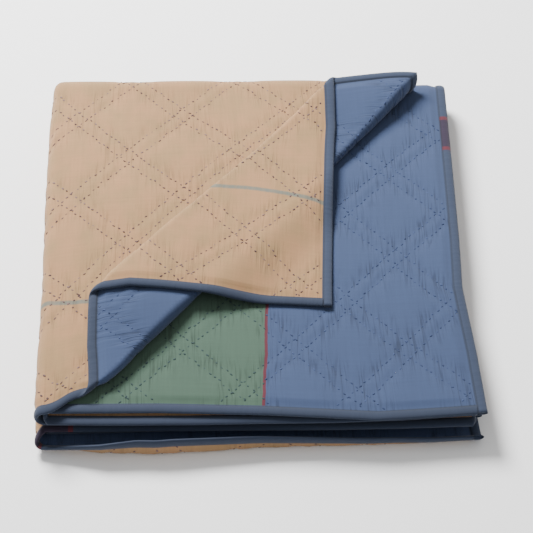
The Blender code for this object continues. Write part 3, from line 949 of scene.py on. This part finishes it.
def thread_material(name, pale, dark, on_patch, settings):
    """Stitching thread whose tone changes from stitch to stitch, with another tone on the patch."""
    made, tree, shader, place = cloth_shader(name, 0.8, 0.05)
    patch = patch_masks(tree, place, *flat_parts(tree, place), settings)[0]
    twist = noise(tree, stretched(tree, place, (900.0, 900.0, 1.0)), detail=1.0)
    tint = mesh_mask(tree, "thread_tone")
    factor = calc(tree, "ADD", tint, about_middle(tree, twist, 0.5), clamp=True)
    colour = mix_colour(tree, patch, mix_colour(tree, factor, dark, pale), on_patch)
    tree.links.new(colour, shader.inputs["Base Color"])
    add_bump(tree, shader, twist, 0.5, 0.0002)
    return made


# Settings


def length_setting(name, text, default):
    """Return a length property."""
    return bpy.props.FloatProperty(
        name=name, description=text, default=default, unit="LENGTH", precision=5
    )


def colour_setting(name, text, default):
    """Return a colour property."""
    return bpy.props.FloatVectorProperty(
        name=name, description=text, default=default, size=3, subtype="COLOR", min=0.0, max=1.0
    )


class QuiltSettings(bpy.types.PropertyGroup):
    """Sizes and colours of the quilt that a user would change."""

    peach: colour_setting("Peach", "Outer face of the cloth", dye(153, 116, 81))
    peach_worn: colour_setting("Worn peach", "Yellower blotches of the outer face", dye(143, 113, 78))
    blue: colour_setting("Blue", "Inner face of the cloth", dye(51, 65, 95))
    green: colour_setting("Green", "Patch on the inner face", dye(60, 81, 68))
    red: colour_setting("Red", "Narrow piping beside the patch", dye(82, 31, 43))
    teal: colour_setting("Teal", "Narrow stripe on the outer face", dye(89, 99, 93))
    binding: colour_setting("Binding", "Binding strips", dye(42, 52, 72))
    purple: colour_setting("Purple", "Short lengths let into the binding", dye(40, 30, 49))
    thread_outer: colour_setting("Outer thread", "Darkest stitches on the peach face", dye(61, 42, 47))
    thread_outer_pale: colour_setting("Pale outer thread", "Palest stitches there", dye(112, 89, 86))
    thread_inner: colour_setting("Inner thread", "Darkest stitches on the blue face", dye(30, 44, 75))
    thread_inner_pale: colour_setting("Pale inner thread", "Palest stitches there", dye(53, 68, 104))
    thread_patch: colour_setting("Patch thread", "Stitches on the green patch", dye(37, 56, 56))
    puff: length_setting("Puff", "Rise of each quilted diamond", 0.0016)
    gather: length_setting("Gather", "Height of the gathers beside the stitching", 0.00022)
    pucker_depth: length_setting("Pucker depth", "Depth of the finest puckers", 0.0012)
    stitch_step: length_setting("Stitch step", "From one running stitch to the next", 0.0080)
    stitch_length: length_setting("Stitch length", "Length of thread seen at each stitch", 0.0038)
    # Wider than the thread alone: the stitch also covers the painted shade of the dimple around it
    stitch_width_with_dimple_shade: length_setting("Stitch width", "Width of the thread", 0.0022)
    piping_place: length_setting("Piping place", "Red piping, measured across the flat cloth", 1.7870)
    piping_slant: bpy.props.FloatProperty(
        name="Piping slant", description="Lean of the piping", default=-0.06
    )
    patch_height: length_setting("Patch height", "How far the green patch runs back", 0.2600)
    piping_width: length_setting("Piping width", "Red piping", 0.0036)
    stripe_place: length_setting("Stripe place", "Teal stripe, measured from the upper front edge", 0.1478)
    stripe_width: length_setting("Stripe width", "Teal stripe", 0.0062)


def current_settings():
    """Return the scene's quilt settings."""
    return bpy.context.scene.quilt_settings


# Operators


class QUILT_OT_cloth(bpy.types.Operator):
    """Build the quilted cloth"""

    bl_idname = "quilt.cloth"
    bl_label = "Quilted cloth"

    def execute(self, context):
        settings = current_settings()

        def shape(u, v, side):
            return u, v, side * cloth_half(u, v, side, settings.puff, settings.gather)

        mesh = flat_slab(stations_across(), stations_along())
        piece, u, v, flat = fold_slab(mesh, shape, "quilt_cloth", quilt_material(settings))
        keep_flat_map(piece, u, v)
        keep_mask(piece, "outer_face", flat[:, 2] > 0.0)
        near = np.minimum(*seam_distances(u, v))
        keep_mask(piece, "near_stitching", np.exp(-(near / PUCKER_REACH) ** 2))
        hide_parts("quilt_body")
        return {"FINISHED"}


def section_point(column, side):
    """Return the inward place and height of one point of a binding strip's section."""
    last = len(STRIP_SECTION) - 1
    top = column <= last
    inward, rise = STRIP_SECTION[column if top else 2 * last + 1 - column]
    height = EDGE_HALF + rise
    if side < 0:
        inward, height = max(inward, -STRIP_LINING), EDGE_HALF + STRIP_LINING * (rise > 0.0)
    return inward, height if top else -height


class QUILT_OT_bindings(bpy.types.Operator):
    """Build the four binding strips"""

    bl_idname = "quilt.bindings"
    bl_label = "Binding strips"

    def execute(self, context):
        settings = current_settings()
        inset = BINDING_WIDTH + STRIP_LINING
        across_run = (inset, CLOTH_WIDTH - inset)
        along_run = (-STRIP_OVERRUN, CLOTH_LENGTH + STRIP_OVERRUN)
        strips = {
            "binding_front_upper": (across_run, lambda s, i: (s, i), ()),
            "binding_front_lower": (across_run, lambda s, i: (s, CLOTH_LENGTH - i), (PURPLE_FRONT,)),
            "binding_side_top": (along_run, lambda s, i: (i, s), ()),
            "binding_side_under": (along_run, lambda s, i: (CLOTH_WIDTH - i, s), (PURPLE_SIDE,)),
        }
        for name, ((low, high), place, segments) in strips.items():
            front = "front" in name
            if front:
                stations = {s for s in stations_across() if low < s < high} | {low, high}
            else:
                stations = np.linspace(low, high, math.ceil((high - low) / STRIP_CELL) + 1)
            mesh = flat_slab(sorted(stations), range(2 * len(STRIP_SECTION)))
            for vert in mesh.verts:
                inward, height = section_point(round(vert.co.y), vert.co.z)
                vert.co = (*place(vert.co.x, inward), height)
            # Painted shade on the front strips, which face away from the light; the side strips keep their
            # colour
            painted_strip_shade = FRONT_STRIP_PAINTED_SHADE if front else 1.0
            material = binding_material(name + "_cotton", settings, segments, painted_strip_shade)
            piece, u, v, _ = fold_slab(mesh, lambda u, v, n: (u, v, n), name + "_cloth", material)
            along = u if front else v
            inward = np.minimum(v, CLOTH_LENGTH - v) if front else np.minimum(u, CLOTH_WIDTH - u)
            keep_flat_map(piece, along, inward)
            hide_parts(name)
        return {"FINISHED"}


def line_points(family, step, low_u, high_u, low_v, high_v):
    """Return u, v and direction of even places along every quilting line of one family."""
    reach = (high_u - low_u + high_v - low_v) / math.sqrt(2.0)
    middle_u, middle_v = 0.5 * (low_u + high_u), 0.5 * (low_v + high_v)
    sign = 1.0 if family == 0 else -1.0
    pitch = float(lattice_numbers(np.array(middle_u))[2 * family])
    centre = float(lattice(np.array([middle_u]), np.array([middle_v]))[family][0])
    count = math.ceil(0.5 * reach / pitch) + 1
    numbers = []
    for k in range(-count, count + 1):
        for half in (-0.5, 0.5):
            numbers.append(round(centre) + k + half * PAIR_GAP / pitch)
    along = np.arange(-0.5 * reach, 0.5 * reach, step)
    number, run = np.meshgrid(np.array(numbers), along, indexing="ij")
    stagger = 0.5 * step * (np.arange(len(numbers)) % 2)[:, None]
    run = run + stagger

    def trace(run):
        across_line = (number - centre) * pitch
        u = middle_u + (across_line + run) / math.sqrt(2.0)
        v = middle_v + sign * (across_line - run) / math.sqrt(2.0)
        for _ in range(5):
            miss = (number - lattice(u, v)[family]) * pitch / math.sqrt(2.0)
            u, v = u + miss, v + sign * miss
        return u, v

    u, v = trace(run)
    ahead_u, ahead_v = trace(run + 0.001)
    size = np.hypot(ahead_u - u, ahead_v - v)
    keep = (u > low_u) & (u < high_u) & (v > low_v) & (v < high_v)
    return u[keep], v[keep], ((ahead_u - u) / size)[keep], ((ahead_v - v) / size)[keep]


def bead_template():
    """Return the vertices and triangles of one stitch, a small closed bead."""
    mesh = bmesh.new()
    bmesh.ops.create_uvsphere(mesh, u_segments=6, v_segments=4, radius=1.0)
    bmesh.ops.rotate(mesh, verts=mesh.verts, cent=(0, 0, 0), matrix=Matrix.Rotation(math.pi / 2, 3, "Y"))
    bmesh.ops.triangulate(mesh, faces=mesh.faces)
    mesh.verts.index_update()
    places = np.array([vert.co for vert in mesh.verts])
    faces = np.array([[vert.index for vert in face.verts] for face in mesh.faces])
    mesh.free()
    return places, faces


def everywhere(u, v):
    """Keep every stitch."""
    return np.ones_like(u, dtype=bool)


def on_turned_corner(u, v):
    """Keep the stitches on the turned-back corner of the top ply."""
    across_top, y = plan_of_top(u, v)
    turned = crease_reach(CREASE_ONE, TOP_RIGHT_X - across_top, y) > 0.0
    return turned & (v < HALF_LENGTH - TURNED_MARGIN)


def stitch_run(name, side, regions, material, settings, seed):
    """Lay joined running stitches on one face of the cloth over the regions given."""
    rng = np.random.default_rng(seed)
    rows = []
    for low_u, high_u, low_v, high_v, wanted in regions:
        for family in (0, 1):
            u, v, du, dv = line_points(family, settings.stitch_step, low_u, high_u, low_v, high_v)
            keep = wanted(u, v)
            rows.append(np.stack((u, v, du, dv), axis=-1)[keep])
    stitches = np.concatenate(rows)
    stitches[:, :2] += rng.normal(0.0, STITCH_DRIFT, (len(stitches), 2))
    turn = rng.normal(0.0, STITCH_TURN, len(stitches))
    du = stitches[:, 2] * np.cos(turn) - stitches[:, 3] * np.sin(turn)
    dv = stitches[:, 2] * np.sin(turn) + stitches[:, 3] * np.cos(turn)
    long = 0.5 * settings.stitch_length * rng.uniform(0.75, 1.25, len(stitches))
    # Each bead is wider than the thread, so its dark colour also stands for the painted shade of the
    # dimple around the stitch
    wide = 0.5 * settings.stitch_width_with_dimple_shade * rng.uniform(0.85, 1.15, len(stitches))
    tone = rng.uniform(0.0, 1.0, len(stitches)) ** 1.5

    places, faces = bead_template()
    along = places[None, :, 0] * long[:, None]
    beside = places[None, :, 1] * wide[:, None]
    u = stitches[:, :1] + along * du[:, None] - beside * dv[:, None]
    v = stitches[:, 1:2] + along * dv[:, None] + beside * du[:, None]
    base = cloth_half(u, v, side, settings.puff, 0.0)
    rise = base + STITCH_SEAT + places[None, :, 2] * STITCH_HALF_HEIGHT
    x, y, z = fold(u.ravel(), v.ravel(), side * rise.ravel())
    count = len(places)
    tris = (faces[None] + count * np.arange(len(stitches))[:, None, None]).reshape(-1, 3)
    data = bpy.data.meshes.new(name)
    data.vertices.add(len(x))
    data.vertices.foreach_set("co", np.stack((x, y, z), axis=-1).ravel())
    data.loops.add(tris.size)
    data.loops.foreach_set("vertex_index", tris.ravel().astype(np.int32))
    data.polygons.add(len(tris))
    data.polygons.foreach_set("loop_start", np.arange(0, tris.size, 3, dtype=np.int32))
    data.update(calc_edges=True)
    data.validate()
    mesh = bmesh.new()
    mesh.from_mesh(data)
    if mesh.calc_volume(signed=True) < 0.0:
        bmesh.ops.reverse_faces(mesh, faces=mesh.faces)
    bpy.data.meshes.remove(data)
    piece = link_piece(mesh, name, material)
    keep_flat_map(piece, u.ravel(), v.ravel())
    keep_mask(piece, "thread_tone", np.repeat(tone, count))
    return piece


class QUILT_OT_stitches(bpy.types.Operator):
    """Lay the running stitches on both faces"""

    bl_idname = "quilt.stitches"
    bl_label = "Running stitches"

    def execute(self, context):
        settings = current_settings()
        edge = BINDING_WIDTH + STITCH_MARGIN
        dark, pale = settings.thread_outer, settings.thread_outer_pale
        outer = thread_material("outer_thread", pale, dark, dark, settings)
        dark, pale = settings.thread_inner, settings.thread_inner_pale
        inner = thread_material("inner_thread", pale, dark, settings.thread_patch, settings)
        outer_regions = [(edge, FOLD_STARTS["one"], edge, CLOTH_LENGTH - edge, everywhere)]
        inner_regions = [
            (edge, TOP_RUN, edge, HALF_LENGTH, on_turned_corner),
            (UNDER_START, CLOTH_WIDTH - edge, edge, HALF_LENGTH, everywhere),
        ]
        stitch_run("stitches_outer", 1.0, outer_regions, outer, settings, 11)
        stitch_run("stitches_inner", -1.0, inner_regions, inner, settings, 12)
        return {"FINISHED"}


class QUILT_OT_stage(bpy.types.Operator):
    """Set the floor, the lights and the camera"""

    bl_idname = "quilt.stage"
    bl_label = "Stage"

    def execute(self, context):
        scene = bpy.context.scene
        mesh = bmesh.new()
        bmesh.ops.create_grid(mesh, x_segments=1, y_segments=1, size=FLOOR_HALF)
        data = bpy.data.meshes.new("floor")
        mesh.to_mesh(data)
        mesh.free()
        pale = bpy.data.materials.new("pale_floor")
        pale.use_nodes = True
        shader = pale.node_tree.nodes["Principled BSDF"]
        shader.inputs["Base Color"].default_value = FLOOR_WHITE
        shader.inputs["Roughness"].default_value = 0.9
        data.materials.append(pale)
        floor = bpy.data.objects.new("floor", data)
        floor.location = (0.0, 0.0, -FLOOR_DROP)
        scene.collection.objects.link(floor)

        world = bpy.data.worlds.new("studio")
        world.use_nodes = True
        background = world.node_tree.nodes["Background"]
        background.inputs["Color"].default_value = (1.0, 1.0, 1.0, 1.0)
        background.inputs["Strength"].default_value = WORLD_STRENGTH
        scene.world = world
        for name, place, size, power in LIGHTS:
            lamp = bpy.data.lights.new(name, "AREA")
            lamp.shape = "DISK"
            lamp.size = size
            lamp.energy = power
            light = bpy.data.objects.new(name, lamp)
            light.location = place
            aim = Vector(LIGHT_AIM) - Vector(place)
            light.rotation_euler = aim.to_track_quat("-Z", "Y").to_euler()
            scene.collection.objects.link(light)

        turn, lift, roll = (math.radians(a) for a in (CAMERA_TURN, CAMERA_LIFT, CAMERA_ROLL))
        back = Vector((math.sin(turn) * math.cos(lift), -math.cos(turn) * math.cos(lift), math.sin(lift)))
        right = Vector((math.cos(turn), math.sin(turn), 0.0))
        up = back.cross(right)
        rolled_right = right * math.cos(roll) - up * math.sin(roll)
        rolled_up = right * math.sin(roll) + up * math.cos(roll)
        frame_axes = Matrix((rolled_right, rolled_up, back)).transposed().to_4x4()
        lens = bpy.data.cameras.new("view")
        lens.sensor_width = SENSOR_WIDTH
        lens.lens = CAMERA_FOCAL_PIXELS / PHOTO_PIXELS * SENSOR_WIDTH
        camera = bpy.data.objects.new("view", lens)
        camera.matrix_world = Matrix.Translation(Vector(CAMERA_AIM) + back * CAMERA_DISTANCE) @ frame_axes
        scene.collection.objects.link(camera)
        scene.camera = camera
        return {"FINISHED"}


class QUILT_PT_panel(bpy.types.Panel):
    """Quilt tools"""

    bl_idname = "QUILT_PT_panel"
    bl_label = "Kantha quilt"
    bl_space_type = "VIEW_3D"
    bl_region_type = "UI"
    bl_category = "Quilt"

    def draw(self, context):
        column = self.layout.column()
        for operator in (QUILT_OT_cloth, QUILT_OT_bindings, QUILT_OT_stitches, QUILT_OT_stage):
            column.operator(operator.bl_idname)
        for name in QuiltSettings.__annotations__:
            column.prop(context.scene.quilt_settings, name)


CLASSES = (
    QuiltSettings,
    QUILT_OT_cloth,
    QUILT_OT_bindings,
    QUILT_OT_stitches,
    QUILT_OT_stage,
    QUILT_PT_panel,
)


def register():
    """Register the settings, operators and panel."""
    for item in CLASSES:
        bpy.utils.register_class(item)
    bpy.types.Scene.quilt_settings = bpy.props.PointerProperty(type=QuiltSettings)


def unregister():
    """Remove the settings, operators and panel."""
    del bpy.types.Scene.quilt_settings
    for item in reversed(CLASSES):
        bpy.utils.unregister_class(item)


def main():
    """Build every piece around the frame."""
    register()
    bpy.ops.quilt.cloth()
    bpy.ops.quilt.bindings()
    bpy.ops.quilt.stitches()
    bpy.ops.quilt.stage()


if __name__ == "__main__":
    main()
